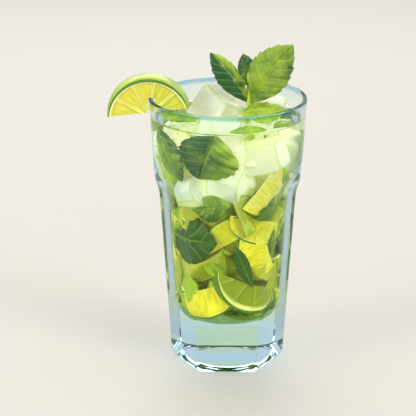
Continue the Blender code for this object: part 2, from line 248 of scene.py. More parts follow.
def round_the_axis(turn, radius, z):
    """Rings of points: radius times cosine and sine of the turn, at height z. A row is a ring."""
    turn, radius, z = np.broadcast_arrays(turn, radius, z)
    return np.stack([radius * np.cos(turn), radius * np.sin(turn), z], axis=-1)


def ring_heights(spans, top):
    """Equal steps of height in each span, then the top, as a column."""
    return np.append(np.concatenate([np.linspace(*span) for span in spans]) * MM, top)[:, None]


def grid_quads(rows, columns, joined):
    """Corners of the quads of a grid whose points are counted row by row. Joined: last column to first."""
    row = np.arange(rows - 1)[:, None] * columns
    column = np.arange(columns if joined else columns - 1)[None, :]
    beside = (column + 1) % columns
    corners = [row + column, row + beside, row + columns + beside, row + columns + column]
    return np.stack(corners, axis=-1).reshape(-1, 4)


def closed_skin(rings):
    """Points and faces of stacked rings, with a fan to a middle point at both ends."""
    rows, around, _ = rings.shape
    points = np.concatenate([rings.reshape(-1, 3), rings[:1].mean(axis=1), rings[-1:].mean(axis=1)])
    k = np.arange(around)
    beside = (k + 1) % around
    last = (rows - 1) * around
    first_fan = np.stack([np.full(around, rows * around), beside, k], axis=1)
    last_fan = np.stack([np.full(around, rows * around + 1), last + k, last + beside], axis=1)
    return points, grid_quads(rows, around, True).tolist() + first_fan.tolist() + last_fan.tolist()


def glass_skin():
    """From the middle of the underside, out over the foot and up the panels, over the lip and down inside.
    The foot, the lip and the inner corner are arcs, and the hollow under the foot runs out by a smooth step.
    """
    turn = np.linspace(0, math.tau, STEPS_ROUND, endpoint=False)
    quarter = np.linspace(0, math.pi / 2, ARC_STEPS)[:, None]
    hollow = FOOT_HOLLOW_RADIUS * np.linspace(0.3, 1.15, 12)[:, None]
    runout = (hollow / FOOT_HOLLOW_RADIUS - FOOT_HOLLOW_FLAT) / FOOT_HOLLOW_RUNOUT
    hollow_z = FOOT_HOLLOW_DEPTH * (1 - smooth_step(runout))
    foot_z = FOOT_ROUNDING * (1 - np.cos(quarter))
    foot_radius = outside_radius(turn, foot_z) - FOOT_ROUNDING * (1 - np.sin(quarter))
    lip = RIM_WALL / 2
    outside_z = ring_heights(OUTSIDE_RINGS, GLASS_HEIGHT - lip)
    over = np.linspace(0, math.pi, 13)[1:-1, None]
    inside_z = ring_heights(INSIDE_RINGS, GLASS_HEIGHT - lip)[::-1]
    corner = quarter[1:]
    rings = [
        round_the_axis(turn, hollow, hollow_z),
        round_the_axis(turn, foot_radius, foot_z),
        round_the_axis(turn, outside_radius(turn, outside_z), outside_z),
        round_the_axis(turn, RIM_RADIUS - lip + lip * np.cos(over), GLASS_HEIGHT - lip + lip * np.sin(over)),
        round_the_axis(turn, inside_radius(inside_z), inside_z),
        round_the_axis(
            turn,
            WELL_RADIUS - WELL_ROUNDING * (1 - np.cos(corner)),
            FLOOR_THICKNESS + WELL_ROUNDING * (1 - np.sin(corner)),
        ),
    ]
    return closed_skin(np.concatenate(rings))


def add_piece(name, points, faces, finish, slot, sharp_angle=60.0):
    """A mesh of these points and faces at the origin, smooth but for edges above the sharp angle."""
    mesh = bpy.data.meshes.new(name)
    mesh.from_pydata(np.asarray(points).tolist(), [], list(faces))
    mesh.update()
    mesh.shade_smooth()
    mesh.set_sharp_from_angle(angle=math.radians(sharp_angle))
    mesh.materials.append(finish)
    piece = place_object(name, mesh)
    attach(piece, "root")
    return piece


def wire(tree, kind, inputs=None, **settings):
    """A new node of that kind, with these settings and inputs."""
    node = tree.nodes.new("ShaderNode" + kind)
    for setting, value in settings.items():
        setattr(node, setting, value)
    fill(node, inputs or {})
    return node


def ramp(tree, value, start, end):
    """0 at start to 1 at end, kept within them."""
    return wire(tree, "MapRange", {"Value": value, "From Min": start, "From Max": end}).outputs[0]


def blend(tree, share, first, second):
    """A colour between two by a share."""
    return wire(tree, "Mix", {0: share, 6: first, 7: second}, data_type="RGBA").outputs[2]


def new_group(name, inputs, outputs):
    """A node group with these sockets, as name: kind. Returns it, its inputs' values and its output node."""
    group = bpy.data.node_groups.new(name, "ShaderNodeTree")
    for way, sockets in (("INPUT", inputs), ("OUTPUT", outputs)):
        for label, kind in sockets.items():
            group.interface.new_socket(label, in_out=way, socket_type="NodeSocket" + kind)
    return group, group.nodes.new("NodeGroupInput").outputs, group.nodes.new("NodeGroupOutput")


def height_blend_group():
    """One colour turning into the next between two heights, in proportion to the height."""
    inputs = {"Colour": "Color", "Next Colour": "Color", "Start Height": "Float", "Full Height": "Float"}
    group, given, result = new_group("height_blend", inputs, {"Colour": "Color"})
    height = wire(group, "SeparateXYZ", {0: wire(group, "TexCoord").outputs["Object"]}).outputs["Z"]
    share = ramp(group, height, given["Start Height"], given["Full Height"])
    fill(result, {"Colour": blend(group, share, given["Colour"], given["Next Colour"])})
    return group


height_blend = height_blend_group()


def tint_by_height(finish, colour, *steps):
    """A base colour that turns into each step's colour, from the step's first height to its second."""
    for (start, full), next_colour in steps:
        inputs = {"Colour": colour, "Next Colour": next_colour, "Start Height": start, "Full Height": full}
        colour = wire(finish.node_tree, "Group", inputs, node_tree=height_blend).outputs["Colour"]
    fill(shader_of(finish), {"Base Color": colour})


def clear_finish(name, colour, index, roughness=0.0, coat=0.0, depth=None):
    """A clear solid: a Principled shader that lets lamps through, with light absorbed on the way."""
    inputs = {
        "Base Color": colour,
        "Roughness": roughness,
        "IOR": index,
        "Transmission Weight": 1.0,
        "Coat Weight": coat,
        "Coat Roughness": 0.02,
    }
    finish = new_finish(name, inputs)
    tree = finish.node_tree
    lamp_ray = wire(tree, "LightPath").outputs["Is Shadow Ray"]
    let_through = wire(tree, "BsdfTransparent", {"Color": colour}).outputs["BSDF"]
    either = wire(tree, "MixShader", {0: lamp_ray, 1: shader_of(finish).outputs["BSDF"], 2: let_through})
    fill(tree.nodes["Material Output"], {"Surface": either.outputs["Shader"]})
    if depth:
        absorbed = wire(tree, "VolumeAbsorption", {"Color": depth[0], "Density": depth[1]})
        fill(tree.nodes["Material Output"], {"Volume": absorbed.outputs["Volume"]})
    return finish


glass_finish = clear_finish("blue_soda_glass", GLASS_CLEAR, GLASS_INDEX, coat=GLASS_COAT, depth=GLASS_DEPTH)
glass_tree = glass_finish.node_tree
edge_on = wire(glass_tree, "LayerWeight", {"Blend": 0.5}).outputs["Facing"]
wall_edge_on = ramp(glass_tree, edge_on, *EDGE_ON_SHARES)
base_edge_on = ramp(glass_tree, edge_on, *BASE_EDGE_ON_SHARES)
# Painted refraction: the base is tinted with the drink's green where it is seen straight, and bluish edge on.
tint_by_height(
    glass_finish,
    blend(glass_tree, wall_edge_on, GLASS_CLEAR, GLASS_EDGE_ON),
    (BASE_TINT, blend(glass_tree, base_edge_on, GLASS_BASE_PAINTED_DRINK, GLASS_BASE_EDGE_ON)),
    (FOOT_TINT, GLASS_FOOT),
    (WALL_TINT, GLASS_WALL),
    (LIP_TINT, GLASS_LIP),
)
glass = add_piece("tumbler", *glass_skin(), glass_finish, "clear_glass", sharp_angle=40)
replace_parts(glass, "glass")

# The drink
# Rum, lime juice and soda water with crushed mint: pale and cloudy among the ice at the top, yellow-green
# lower down. It fills the glass to a little below the rim and creeps up the wall by surface tension.

DRINK_LEVEL = 143.5 * MM
INTO_WALL = 0.15 * MM
CREEP_HEIGHT = 1.1 * MM
CREEP_WIDTH = 1.3 * MM
DRINK_RINGS = [(40, 96, 12), (98, 140, 24)]
LIQUID_LOW = (0.94, 0.93, 0.30)
LIQUID_HIGH = (1.0, 1.0, 0.95)
LIQUID_FOOT = (0.22, 0.50, 0.40)
JUICE_TOP = (93 * MM, 107 * MM)
LIQUID_FOOT_TINT = (29.6 * MM, 28.4 * MM)
LIQUID_INDEX = 1.20
LIQUID_DEPTH = ((0.94, 0.94, 0.35), 9)


def drink_skin():
    """The glass's inside, moved a little into its wall, closed by a surface that rises as an exponential."""
    turn = np.linspace(0, math.tau, STEPS_ROUND, endpoint=False)
    corner = np.linspace(math.pi / 2, 0, ARC_STEPS)[:, None]
    rounding = WELL_ROUNDING + INTO_WALL
    side_z = ring_heights(DRINK_RINGS, DRINK_LEVEL + CREEP_HEIGHT)
    edge = inside_radius(DRINK_LEVEL + CREEP_HEIGHT) + INTO_WALL
    from_wall = np.append(np.linspace(0, 6, 16) * MM, edge * np.array([0.3, 0.55, 0.8]))[1:, None]
    surface_z = DRINK_LEVEL + CREEP_HEIGHT * np.exp(-from_wall / CREEP_WIDTH)
    rings = [
        round_the_axis(
            turn,
            WELL_RADIUS - WELL_ROUNDING + rounding * np.cos(corner),
            FLOOR_THICKNESS + WELL_ROUNDING - rounding * np.sin(corner),
        ),
        round_the_axis(turn, inside_radius(side_z) + INTO_WALL, side_z),
        round_the_axis(turn, edge - from_wall, surface_z),
    ]
    return closed_skin(np.concatenate(rings))


drink_finish = clear_finish("mojito_liquid", LIQUID_HIGH, LIQUID_INDEX, depth=LIQUID_DEPTH)
tint_by_height(drink_finish, LIQUID_LOW, (JUICE_TOP, LIQUID_HIGH), (LIQUID_FOOT_TINT, LIQUID_FOOT))
drink = add_piece("mojito_liquid", *drink_skin(), drink_finish, "mojito")
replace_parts(drink, "drink")

# The ice
# Cubes from a tray that break the surface, and cubes and cracked ice packed below it, all wet and a little
# cloudy. Lime juice collects along the edges of each piece, and the deeper pieces sit in it.

ICE_CUBES = {
    # name: (sizes, middle) in millimetres, and (turn about Z, then lean about X and Y) in degrees
    "ice_cube_back": ((26, 25, 25), (-5, 13.5, 141.5), (38, 24, 20)),
    "ice_cube_front": ((20, 19, 18), (-4.5, -21, 138.5), (22, -12, 9)),
    "ice_cube_side": ((18, 17, 18), (23, 17, 141), (-12, 14, 13)),
}
SUNK_CUBES = [
    ((21, 18, 18), (18.5, -14, 126), (-12, 4, -12)),
    ((19, 18, 17), (-1, -20, 113), (-20, 35, 12)),
    ((18, 18, 17), (-17.5, -15, 104), (35, -20, 25)),
    ((19, 18, 18), (26, 2, 126), (10, 25, 30)),
    ((18, 18, 18), (-26, 1, 124), (-30, 20, -15)),
    ((20, 18, 19), (3, 22, 116), (15, -30, 10)),
    ((18, 19, 17), (-15, 19, 106), (50, 15, 20)),
    ((18, 17, 18), (18, 17, 104), (-25, 25, -20)),
]
CUBE_SHARPNESS = 13
CUBE_GRID = (40, 72)
CUBE_TAPER = 0.94
MELTED = 0.014
# Radians per metre along each axis
MELT_WAVES = ((310, 190, 260), (-180, 340, 220))
CRACKED_PIECES = 60
CRACKED_FACETS = 12
CRACKED_SHARPNESS = 34
CRACKED_GRID = (16, 28)
CRACKED_FROM_MIDDLE = (5, 8)
CRACKED_REACH = 9.5 * MM
CRACKED_LOWEST = 36 * MM
CRACKED_CLIMB = 98 * MM
CRACKED_FROM_WALL = 11 * MM
CRACKED_SEED = 11
GOLDEN_SHARE = 0.618034
GOLDEN_ANGLE = 2.399963
SUNK_FROM_WALL = 0.8 * MM
ICE_FACE = (0.985, 0.99, 0.90)
ICE_EDGE = (0.66, 0.84, 0.34)
JUICY_FACE = (0.70, 0.84, 0.16)
JUICY_EDGE = (0.50, 0.68, 0.06)
EDGE_STARTS = 0.84
EDGE_WIDTH = 0.15
FAR_OFF = 1.0
ICE_COAT = 0.15


def facet_body(normals, distances, sharpness, grid, farthest=FAR_OFF):
    """A solid between planes: each direction's reach is one over a soft maximum, a power norm, of its shares
    of the planes' distances, and at most the farthest. A plane that a direction turns away from counts as far
    off. Also returns how near each point is to an edge, where two shares are almost equal.
    """
    rows, around = grid
    up = np.linspace(-math.pi / 2, math.pi / 2, rows + 2)[1:-1, None]
    turn = np.linspace(0, math.tau, around, endpoint=False)
    ways = round_the_axis(turn, np.cos(up), np.sin(up))
    shares = np.maximum(ways @ np.transpose(normals) / distances, 1 / FAR_OFF)
    reach = np.minimum(np.sum(shares**sharpness, axis=-1) ** (-1 / sharpness), farthest)
    points, faces = closed_skin(ways * reach[..., None])
    two = np.sort(shares, axis=-1)[..., -2:]
    edge = smooth_step((two[..., 0] / np.maximum(two[..., 1], 1 / farthest) - EDGE_STARTS) / EDGE_WIDTH)
    return points, faces, np.append(edge.ravel(), [0, 0])


def broken_body(draw, facets, from_middle, unit, sharpness, grid, farthest):
    """A solid between planes in random directions, whose distances from the middle are random numbers within
    a range, times a unit.
    """
    normals = draw.normal(size=(facets, 3))
    normals /= np.linalg.norm(normals, axis=1, keepdims=True)
    distances = draw.uniform(*from_middle, facets) * unit
    return facet_body(normals, distances, sharpness, grid, farthest)


def turned(points, *turns):
    """Points turned by each (axis, degrees) in order."""
    matrix = Matrix.Identity(3)
    for axis, degrees in turns:
        matrix = Matrix.Rotation(math.radians(degrees), 3, axis) @ matrix
    return points @ np.array(matrix).T


def held_inside(points):
    """Points beyond the glass's inner wall, its floor or the surface, less a margin, are moved back to it."""
    points[:, 2] = np.clip(points[:, 2], FLOOR_THICKNESS + SUNK_FROM_WALL, DRINK_LEVEL - SUNK_FROM_WALL)
    room = inside_radius(points[:, 2]) - SUNK_FROM_WALL
    low = np.clip((points[:, 2] - FLOOR_THICKNESS - SUNK_FROM_WALL) / WELL_ROUNDING, 0, 1)
    room = room - WELL_ROUNDING * (1 - np.sqrt(1 - (1 - low) ** 2))
    points[:, :2] /= np.maximum(np.hypot(points[:, 0], points[:, 1]) / room, 1)[:, None]
    return points


def ice_cube(size, middle, tilt):
    """A cube's skin: six planes, a taper in proportion to height and low sines for melted hollows."""
    half = np.array(size) * MM / 2
    normals = np.concatenate([np.eye(3), -np.eye(3)])
    points, faces, edge = facet_body(normals, np.tile(half, 2), CUBE_SHARPNESS, CUBE_GRID)
    points[:, :2] *= 1 - (1 - CUBE_TAPER) * (0.5 + points[:, 2:] / half[2] / 2)
    first, second = np.array(MELT_WAVES)
    wave = np.sin(points @ first + size[0]) * np.sin(points @ second)
    points *= 1 - MELTED * (1 + wave[:, None])
    turn, lean_front, lean_side = tilt
    points = turned(points, ("Y", lean_side), ("X", lean_front), ("Z", turn)) + np.array(middle) * MM
    return points, faces, edge


def cracked_ice():
    """Pieces between random planes. Their places climb in equal steps and turn by the golden angle, and
    their distances from the axis are square roots of an even spread, so that they fill the glass evenly.
    """
    draw = np.random.default_rng(CRACKED_SEED)
    for k in range(CRACKED_PIECES):
        z = CRACKED_LOWEST + CRACKED_CLIMB * (k + 0.5) / CRACKED_PIECES
        out = (inside_radius(z) - CRACKED_FROM_WALL) * math.sqrt((k * GOLDEN_SHARE + 0.31) % 1.0)
        turn = k * GOLDEN_ANGLE
        points, faces, edge = broken_body(
            draw, CRACKED_FACETS, CRACKED_FROM_MIDDLE, MM, CRACKED_SHARPNESS, CRACKED_GRID, CRACKED_REACH
        )
        yield points + np.array([out * math.cos(turn), out * math.sin(turn), z]), faces, edge


def join_skins(skins):
    """Several skins as one: each skin's faces count on from the points before it."""
    points, faces, count = [], [], 0
    for skin_points, skin_faces in skins:
        points.append(skin_points)
        faces += [[corner + count for corner in face] for face in skin_faces]
        count += len(skin_points)
    return np.concatenate(points), faces


def juice_tint(points, edge):
    """Colours between face and edge, and between clear ice above and ice in juice below, by smooth steps."""
    low, high = JUICE_TOP
    share = smooth_step((points[:, 2:] - low) / (high - low))
    face = np.array(JUICY_FACE) * (1 - share) + np.array(ICE_FACE) * share
    side = np.array(JUICY_EDGE) * (1 - share) + np.array(ICE_EDGE) * share
    return face * (1 - edge[:, None]) + side * edge[:, None]


def write_attribute(piece, name, kind, values):
    """Gives each point of a piece its number or colour."""
    attribute = piece.data.attributes.new(name, kind, "POINT")
    member = "color" if kind == "FLOAT_COLOR" else "value"
    attribute.data.foreach_set(member, values.astype(np.float32).ravel())


def add_ice(name, skins, finish):
    """Ice as one piece, with its tint in a colour attribute that the finish reads."""
    piece = add_piece(name, *join_skins([skin[:2] for skin in skins]), finish, "ice", sharp_angle=40)
    tint = np.concatenate([juice_tint(points, edge) for points, _, edge in skins])
    write_attribute(piece, "juice_tint", "FLOAT_COLOR", np.insert(tint, 3, 1, axis=1))
    return piece


def ice_finish(name, clearness, index, roughness):
    """Wet ice, part clear and part milky, tinted by its own attribute. Lamps shine through it."""
    finish = clear_finish(name, ICE_FACE, index, roughness, ICE_COAT)
    tint = wire(finish.node_tree, "Attribute", attribute_name="juice_tint").outputs["Color"]
    fill(shader_of(finish), {"Transmission Weight": clearness, "Base Color": tint})
    return finish


wet_ice = ice_finish("wet_ice", clearness=0.5, index=1.1, roughness=0.08)
for cube_name, cube_values in ICE_CUBES.items():
    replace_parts(add_ice(cube_name + "_wet", [ice_cube(*cube_values)], wet_ice), cube_name)

sunk_ice = ice_finish("sunk_ice", clearness=0.4, index=1.05, roughness=0.15)
packed_ice = [ice_cube(*values) for values in SUNK_CUBES] + list(cracked_ice())
packed_ice = [(held_inside(points), faces, edge) for points, faces, edge in packed_ice]
add_ice("packed_ice", packed_ice, sunk_ice)

# The mint
# Fresh leaves: thin, toothed and quilted between their veins, darker above than below. Four grow from the
# stem that stands in the drink, four lie on its surface and the rest is crushed into it.

# Leaves and their stem are worked out in plain millimetres.
LEAF_THICKNESS = 0.6
LEAF_TEETH = 9
LEAF_TOOTH_DEPTH = 0.09
LEAF_VEIN_PAIRS = 7
LEAF_VEIN_SWEEP = 1.25
LEAF_VEIN_CURVE = 0.9
LEAF_QUILT_DEPTH = 0.042
LEAF_MIDRIB_DEPTH = 0.012
LEAF_WAVES = 5
LEAF_WAVE_HEIGHT = 0.05
LEAF_DROOP = 0.25
LEAF_BOW = 0.1
FRESH_LEAF_GRID = (97, 33)
SUNK_LEAF_GRID = (49, 21)
UNDERSIDE_PALER = 0.3
SPRIG_STEM = [(10, 1, 112), (10.5, 2, 130), (11.5, 4, 148), (11.8, 5.5, 162)]
STEM_RADIUS = 1.3
STEM_PALENESS = 0.9
SPRIG_LEAVES = [
    # (base, tip, facing), (width, fold in degrees), (paleness, painted shade: how much paler towards one
    # edge)
    ((11.7, 4, 150), (35.5, 3, 183.5), (-0.3, -0.9, 0.3), (24, 10), (0.5, -0.2)),
    ((11.3, 4, 150.5), (-9.5, 3, 179), (0.35, -0.75, 0.3), (14, -24), (0.15, 1.0)),
    ((11.5, 6, 161), (8.5, 9, 177), (0.2, -1, 0.2), (10, 18), (0.05, 0.1)),
    ((11.5, 5, 160.5), (3.5, 1, 163.5), (0, -0.4, 1), (7, 20), (0.2, 0.2)),
]
LOOSE_BOW = 0.05
FLOAT_GAP = 0.3 * MM
# Columns as for the sprig's leaves; the last number is painted shade, paler towards one edge
LOOSE_LEAVES = {
    "mint_leaf_left": ((-17.5, -13.5, 0), (-37, -5, 2), (0, -0.2, 1), (13, 6), (0.7, 0.1)),
    "mint_leaf_right": ((7, -13, 0), (31.5, -8.5, 1.5), (0, -0.5, 1), (17, -9), (0.9, 0.1)),
    "mint_leaf_front": ((1, -35.5, 0), (20.5, -33.5, 1), (0, -0.25, 1), (8, 8), (0.7, 0)),
    "mint_leaf_side": ((24.5, -25, 0), (33.5, -19, 1.5), (0, -0.2, 1), (7, 8), (0.6, 0)),
}
# Columns as for the sprig's leaves; the last number is painted shade, paler towards one edge
SUNK_LEAVES = [
    ((-7, -36.5, 144.5), (-15.5, -29.5, 116.5), (-0.1, -1, -0.15), (36, 6), (0.2, -0.55)),
    ((-36, -12, 141), (-24, -22, 113), (-0.7, -0.7, 0), (21, 10), (0.35, 0.25)),
    ((34, -10, 105), (17.5, -25, 91), (0.4, -0.9, 0.1), (13, 8), (0.0, -0.1)),
    ((2, -26, 100.5), (-18.5, -22, 97), (0, -1, 0.2), (17, 8), (0.35, 0.3)),
    ((-31, -4, 77), (-6.5, -27, 78), (-0.5, -0.8, 0.1), (28, 6), (-0.5, 0)),
    ((14.5, -23, 51), (4, -27, 76.5), (0.1, -1, 0.1), (9, 12), (-0.15, 0)),
    ((23.5, -15, 65), (24, -15.5, 84), (0.4, -0.9, 0), (9.5, 10), (0.2, 0)),
    ((-21, -16, 61), (-20.5, -17, 39), (-0.4, -0.9, 0), (12, 10), (1.1, 0)),
    ((-14, -21, 68), (0, -24, 59), (0.1, -1, 0.3), (12, 10), (0.5, 0.2)),
    ((-3, -17, 33), (24, -12, 36), (0, -1, 0.3), (11, 8), (0.1, 0.1)),
]
# Copies of what is crushed into the drink: (degrees round the glass, millimetres up)
ROUND_THE_GLASS = [(0, 0), (152, -3), (222, 2)]
MINT_DARK = (0.016, 0.085, 0.022)
MINT_LIGHT = (0.34, 0.50, 0.025)
MINT_VEIN_DARK = (0.17, 0.33, 0.035)
MINT_VEIN_LIGHT = (0.56, 0.68, 0.07)
VEIN_EDGE = (0.1, 0.02)
VEIN_SHOWS = 0.5
MIDRIB_EDGE = (1.6, 0.6)
MIDRIB_SHOWS = 0.85
MIDRIB_WIDTH = 0.035
MIDRIB_WIDER_AT_STEM = 0.08
MINT_CLOUDS = (130, 3)
MINT_CLOUD_CONTRAST = 1.6
MINT_GRAIN = (900, 2)


def leaf_outline(share):
    """Half the blade's width as a share of the greatest: a sine of the length, with a pointed tip."""
    return np.maximum(np.sin(math.pi * np.clip(share, 0, 1) ** 1.05) ** 0.8, 0.05)


def leaf_skin(base, tip, facing, shape, tone_and_painted_shade, grid, bow=LEAF_BOW):
    """A blade on a grid of length and width. Its height is a fold, a droop in proportion to the square of
    the distance from the midrib, a ripple of sines along the edge, and a quilt that sinks at every vein.
    """
    base, tip, facing = (np.array(v, float) for v in (base, tip, facing))
    width, fold = shape
    rows, columns = grid
    length = np.linalg.norm(tip - base)
    along = (tip - base) / length
    up = facing - along * (facing @ along)
    up /= np.linalg.norm(up)
    side = np.cross(along, up)
    share = np.linspace(0.005, 1, rows)[:, None]
    across = np.linspace(-1, 1, columns)[None, :]
    out = np.abs(across)
    tooth = (share * LEAF_TEETH) % 1.0 * np.clip((1 - share) * 8, 0, 1)
    sideways = across * leaf_outline(share) * width / 2 * (0.95 + LEAF_TOOTH_DEPTH * tooth * out**4)
    vein = share * LEAF_VEIN_PAIRS - LEAF_VEIN_SWEEP * out**LEAF_VEIN_CURVE
    quilt = np.abs(np.sin(math.pi * vein)) ** 0.6 * (1 - out**6) * np.clip(out / 0.1, 0, 1)
    quilt = quilt * np.clip(np.sin(math.pi * share) * 2, 0, 1)
    midrib = np.exp(-((across / 0.05) ** 2))
    height = math.tan(math.radians(fold)) * np.abs(sideways) - LEAF_DROOP * sideways**2 / width
    height = height + LEAF_WAVE_HEIGHT * np.abs(sideways) * np.sin(LEAF_WAVES * math.tau * share)
    height = height + width * (LEAF_QUILT_DEPTH * (quilt - 0.5) - LEAF_MIDRIB_DEPTH * midrib)
    height = height + length * bow * 4 * share * (1 - share)
    forward = length * (share + 0.02 * tooth * out**8)
    upper = base + along * forward[..., None] + side * sideways[..., None] + up * height[..., None]
    points = np.concatenate([upper.reshape(-1, 3), (upper - up * LEAF_THICKNESS).reshape(-1, 3)]) * MM
    count, last = rows * columns, (rows - 1) * columns
    top = grid_quads(rows, columns, False)
    down = np.arange(1, rows) * columns
    way_back = np.arange(columns - 2, -1, -1)
    rim = np.concatenate([np.arange(columns), down + columns - 1, last + way_back, down[-2::-1]])
    beside = np.roll(rim, -1)
    edge = np.stack([beside, rim, rim + count, beside + count], axis=1)
    place = np.stack(np.broadcast_arrays(share, across * 0.5 + 0.5), axis=-1).reshape(-1, 2)
    # Painted shade: the second number makes the blade paler towards one edge, as though one half were lit and
    # the other in shade
    pale = tone_and_painted_shade[0] + tone_and_painted_shade[1] * (2 * place[:, 1] - 1)
    faces = np.concatenate([top, top[:, ::-1] + count, edge]).tolist()
    return points, faces, np.tile(place, (2, 1)), np.concatenate([pale, pale + UNDERSIDE_PALER])


def stem_skin(route, radius):
    """A tube: rings of a radius that swells four times round, as mint's square stems do, along the route."""
    route = np.array(route, float)
    share = np.linspace(0, len(route) - 1, 40)
    middle = np.stack([np.interp(share, np.arange(len(route)), route[:, k]) for k in range(3)], axis=1)
    turn = np.linspace(0, math.tau, 20, endpoint=False)
    ring = round_the_axis(turn, radius * (1 + 0.1 * np.cos(4 * turn)), 0.0)
    points, faces = closed_skin((middle[:, None, :] + ring) * MM)
    return points, faces, np.full((len(points), 2), 0.5), np.full(len(points), STEM_PALENESS)


def work_out(tree, operation, *values):
    """One Math node's output for these values."""
    return wire(tree, "Math", dict(enumerate(values)), operation=operation).outputs[0]


def cloud_group():
    """Noise on Object coordinates, for clouds of colour and fine relief."""
    group, given, result = new_group("clouds", {"Scale": "Float", "Detail": "Float"}, {"Cloud": "Float"})
    spot = wire(group, "TexCoord").outputs["Object"]
    noise = wire(group, "TexNoise", {"Vector": spot, "Scale": given["Scale"], "Detail": given["Detail"]})
    fill(result, {"Cloud": noise.outputs["Fac"]})
    return group


cloud_noise = cloud_group()


def clouds(tree, scale, detail):
    """The cloud group's value in a material."""
    return wire(tree, "Group", {"Scale": scale, "Detail": detail}, node_tree=cloud_noise).outputs["Cloud"]


def mint_finish():
    """Mint: greens that vary in clouds, and lighter veins worked out from the leaf's length and width. A vein
    lags behind its start on the midrib by a power of the distance from it, as the quilt of the mesh does.
    """
    finish = new_finish("fresh_mint", {"Roughness": 0.45, "Specular IOR Level": 0.35})
    tree = finish.node_tree
    place = wire(tree, "SeparateXYZ", {0: wire(tree, "UVMap", uv_map="leaf_place").outputs["UV"]}).outputs
    along = place["X"]
    out = work_out(tree, "ABSOLUTE", work_out(tree, "MULTIPLY_ADD", place["Y"], 2.0, -1.0))
    lag = work_out(tree, "MULTIPLY", work_out(tree, "POWER", out, LEAF_VEIN_CURVE), -LEAF_VEIN_SWEEP)
    phase = work_out(tree, "MULTIPLY_ADD", along, LEAF_VEIN_PAIRS, lag)
    vein = ramp(tree, work_out(tree, "PINGPONG", phase, 0.5), *VEIN_EDGE)
    vein = work_out(tree, "MULTIPLY", vein, VEIN_SHOWS)
    to_tip = work_out(tree, "POWER", work_out(tree, "SUBTRACT", 1.0, along), 3.0)
    wide = work_out(tree, "MULTIPLY_ADD", to_tip, MIDRIB_WIDER_AT_STEM, MIDRIB_WIDTH)
    midrib = ramp(tree, work_out(tree, "DIVIDE", out, wide), *MIDRIB_EDGE)
    midrib = work_out(tree, "MULTIPLY", midrib, MIDRIB_SHOWS)
    cloud = clouds(tree, *MINT_CLOUDS)
    cloud = work_out(tree, "MULTIPLY_ADD", cloud, MINT_CLOUD_CONTRAST, -MINT_CLOUD_CONTRAST / 2)
    # The attribute holds each leaf's tone and its painted shade, paler towards one edge
    pale = wire(tree, "Attribute", attribute_name="tone_and_painted_shade").outputs["Fac"]
    lightness = work_out(tree, "ADD", pale, cloud)
    blade = blend(tree, lightness, MINT_DARK, MINT_LIGHT)
    vein_colour = blend(tree, lightness, MINT_VEIN_DARK, MINT_VEIN_LIGHT)
    colour = blend(tree, work_out(tree, "MAXIMUM", vein, midrib), blade, vein_colour)
    grain = clouds(tree, *MINT_GRAIN)
    relief = wire(tree, "Bump", {"Height": grain, "Distance": 0.3 * MM, "Strength": 0.4})
    fill(shader_of(finish), {"Base Color": colour, "Normal": relief.outputs["Normal"]})
    return finish


def write_uv(piece, name, places):
    """Gives each face corner the place of its point."""
    corners = np.empty(len(piece.data.loops), dtype=np.int32)
    piece.data.loops.foreach_get("vertex_index", corners)
    piece.data.uv_layers.new(name=name).data.foreach_set("uv", places[corners].astype(np.float32).ravel())


fresh_mint = mint_finish()


def add_leaves(name, skins):
    """Leaves as one piece. UV holds length and width shares, and an attribute how pale each point is, with
    painted shade that makes some blades paler towards one edge.
    """
    piece = add_piece(name, *join_skins([skin[:2] for skin in skins]), fresh_mint, "mint", sharp_angle=50)
    write_uv(piece, "leaf_place", np.concatenate([skin[2] for skin in skins]))
    write_attribute(piece, "tone_and_painted_shade", "FLOAT", np.concatenate([skin[3] for skin in skins]))
    return piece


sprig_leaves = [leaf_skin(*values, FRESH_LEAF_GRID) for values in SPRIG_LEAVES]
sprig = add_leaves("mint_sprig_fresh", [stem_skin(SPRIG_STEM, STEM_RADIUS), *sprig_leaves])
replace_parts(sprig, "mint_sprig")
for leaf_name, leaf_values in LOOSE_LEAVES.items():
    leaf_points, *leaf_others = leaf_skin(*leaf_values, FRESH_LEAF_GRID, LOOSE_BOW)
    leaf_points[:, 2] += DRINK_LEVEL + FLOAT_GAP - leaf_points[:, 2].min()
    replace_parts(add_leaves(leaf_name + "_fresh", [(leaf_points, *leaf_others)]), leaf_name)


def round_the_glass(skins):
    """The same pieces again further round the glass, each time turned about its axis and moved up or down."""
    for turn, rise in ROUND_THE_GLASS:
        for points, *others in skins:
            yield held_inside(turned(points, ("Z", turn)) + np.array([0, 0, rise * MM])), *others


sunk_leaves = [leaf_skin(*values, SUNK_LEAF_GRID) for values in SUNK_LEAVES]
add_leaves("sunk_mint", list(round_the_glass(sunk_leaves)))

# The lime
# Half a wheel hooked on the rim by its notch, and wedges, chunks and a half wheel crushed into the drink: a
# thin oily green skin, a pale pith, and flesh of juice sacs between pale membranes.

LIME_RADIUS = 23.2 * MM
LIME_CUT = 2.5 * MM
LIME_THICKNESS = 9 * MM
LIME_RIND = 2.6 * MM
LIME_SEGMENTS = 10
LIME_RELIEF = 0.7 * MM
LIME_RELIEF_SLOPE = 1.6 * MM
LIME_BEVEL = 1.2 * MM
FLAT_SHARE = 0.95
LIME_STEPS = 56
# Degrees in the wheel's own plane, and out of it
LIME_TURN = 7
LIME_LEAN = 7
LIME_OUTSIDE = 1.5 * MM
LIME_NOTCH_DEPTH = 8.2 * MM
NOTCH_GAP = 0.3 * MM
NOTCH_HALF_LENGTH = 20 * MM
RIM_RIPENESS = 0.8
